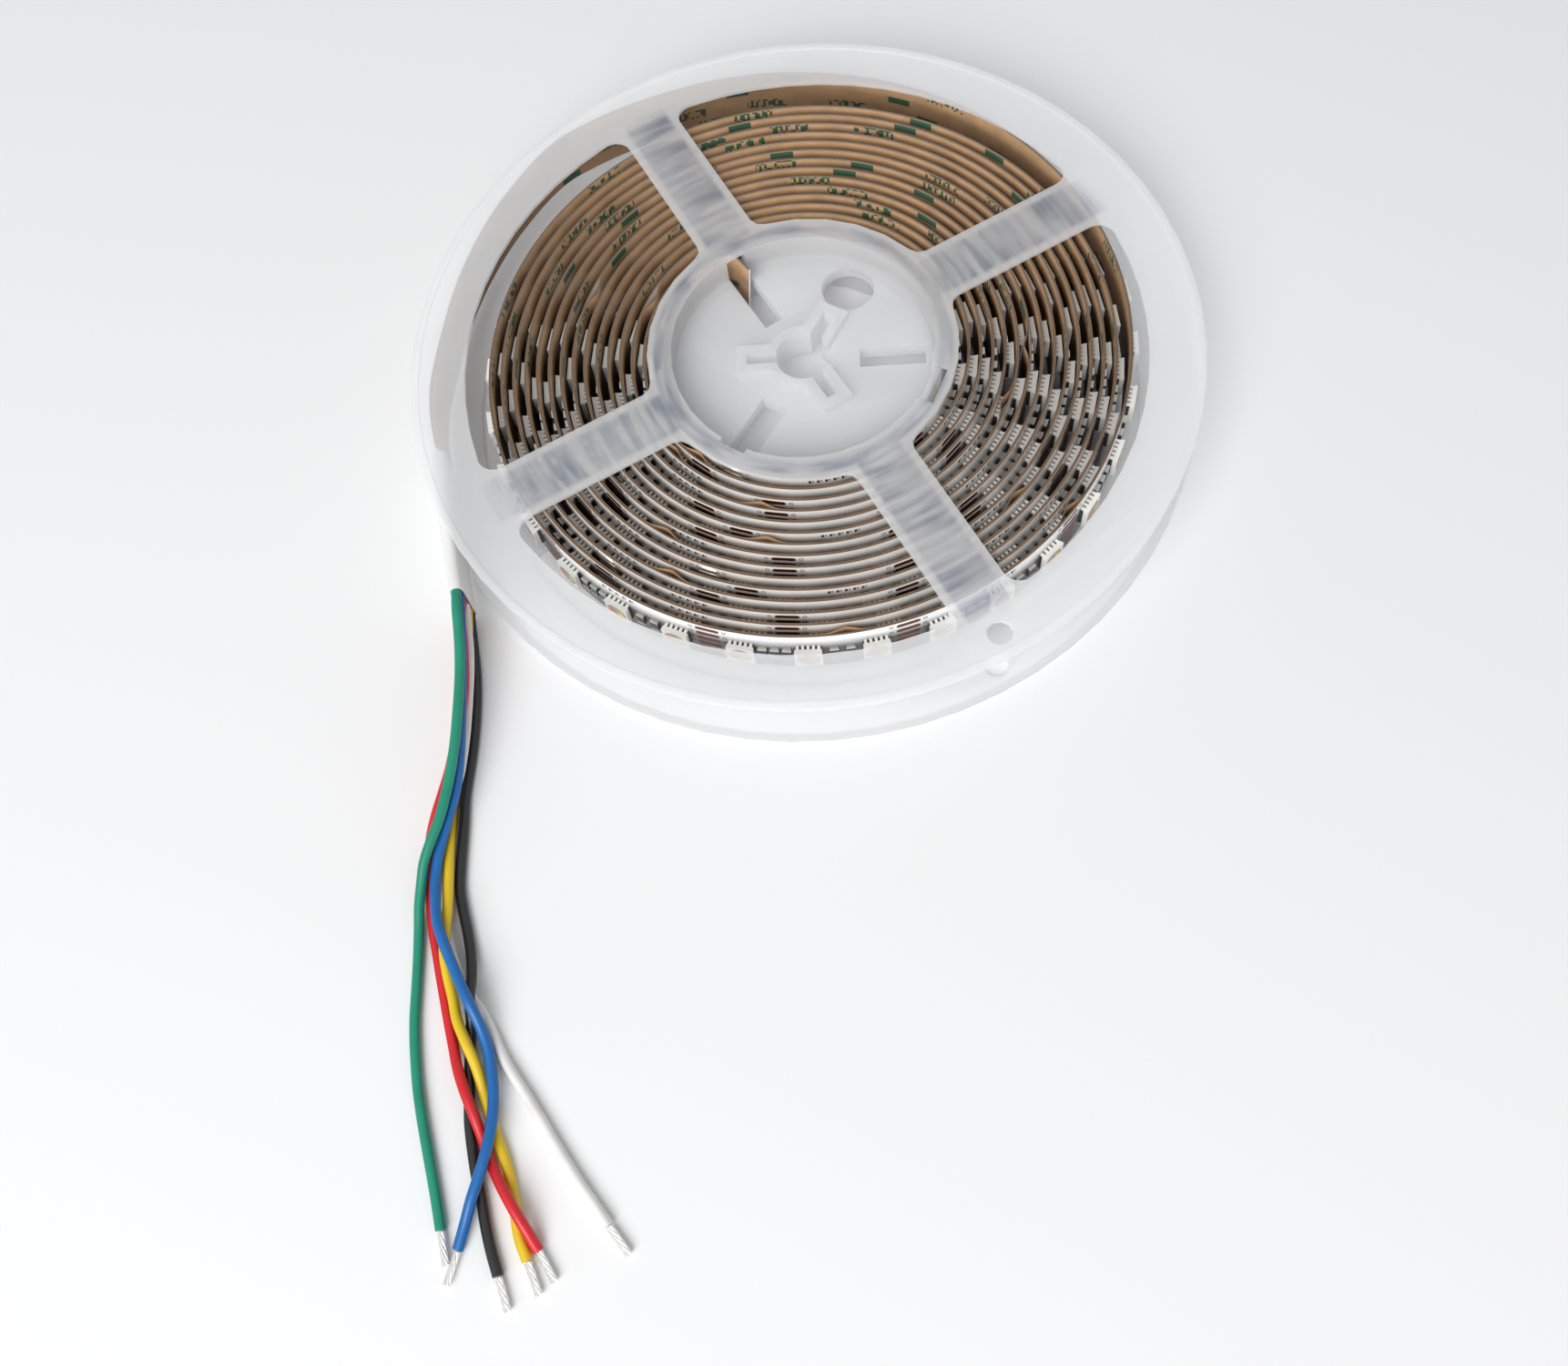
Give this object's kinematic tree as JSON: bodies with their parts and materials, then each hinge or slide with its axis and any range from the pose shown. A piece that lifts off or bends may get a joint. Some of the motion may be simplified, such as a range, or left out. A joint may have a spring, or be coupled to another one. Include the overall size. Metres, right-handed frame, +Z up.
{
  "type": "led strip light reel",
  "caption": "Flexible LED tape wound on edge between the windowed flanges of a flat plastic spool, with a flat sleeve and loose coloured lead wires at the rim.",
  "frame": {"origin": "centre of the lower flange's rim on the surface it rests on, on the spool's axis", "axes": "+Z up along the spool's axis; -Y towards the free ends of the lead wires; +X to the right with the lead at the front left"},
  "size_m": [0.1622, 0.2341, 0.015],
  "materials": {
    "frosted_plastic": "translucent frosted polystyrene, slightly bluish over the dark winding",
    "board_white": "white solder mask with white LED housings and yellow lenses",
    "kraft_paper": "brown waxed backing paper with a faint green print",
    "sleeve_white": "soft white heat-shrink sleeve",
    "insulation_green": "satin green PVC insulation",
    "insulation_blue": "satin blue PVC insulation",
    "insulation_red": "satin red PVC insulation",
    "insulation_white": "satin white PVC insulation",
    "insulation_yellow": "satin yellow PVC insulation",
    "insulation_black": "satin black PVC insulation",
    "tinned_copper": "bright tinned strand ends"
  },
  "bodies": {
    "root": {"spool_lower_half": "frosted_plastic", "spool_upper_half": "frosted_plastic", "led_tape": "board_white", "tape_liner": "kraft_paper", "lead_sleeve": "sleeve_white", "wire_green": "insulation_green", "wire_blue": "insulation_blue", "wire_red": "insulation_red", "wire_white": "insulation_white", "wire_yellow": "insulation_yellow", "wire_black": "insulation_black", "wire_tip_green": "tinned_copper", "wire_tip_blue": "tinned_copper", "wire_tip_red": "tinned_copper", "wire_tip_white": "tinned_copper", "wire_tip_yellow": "tinned_copper", "wire_tip_black": "tinned_copper"}
  },
  "joints": []
}
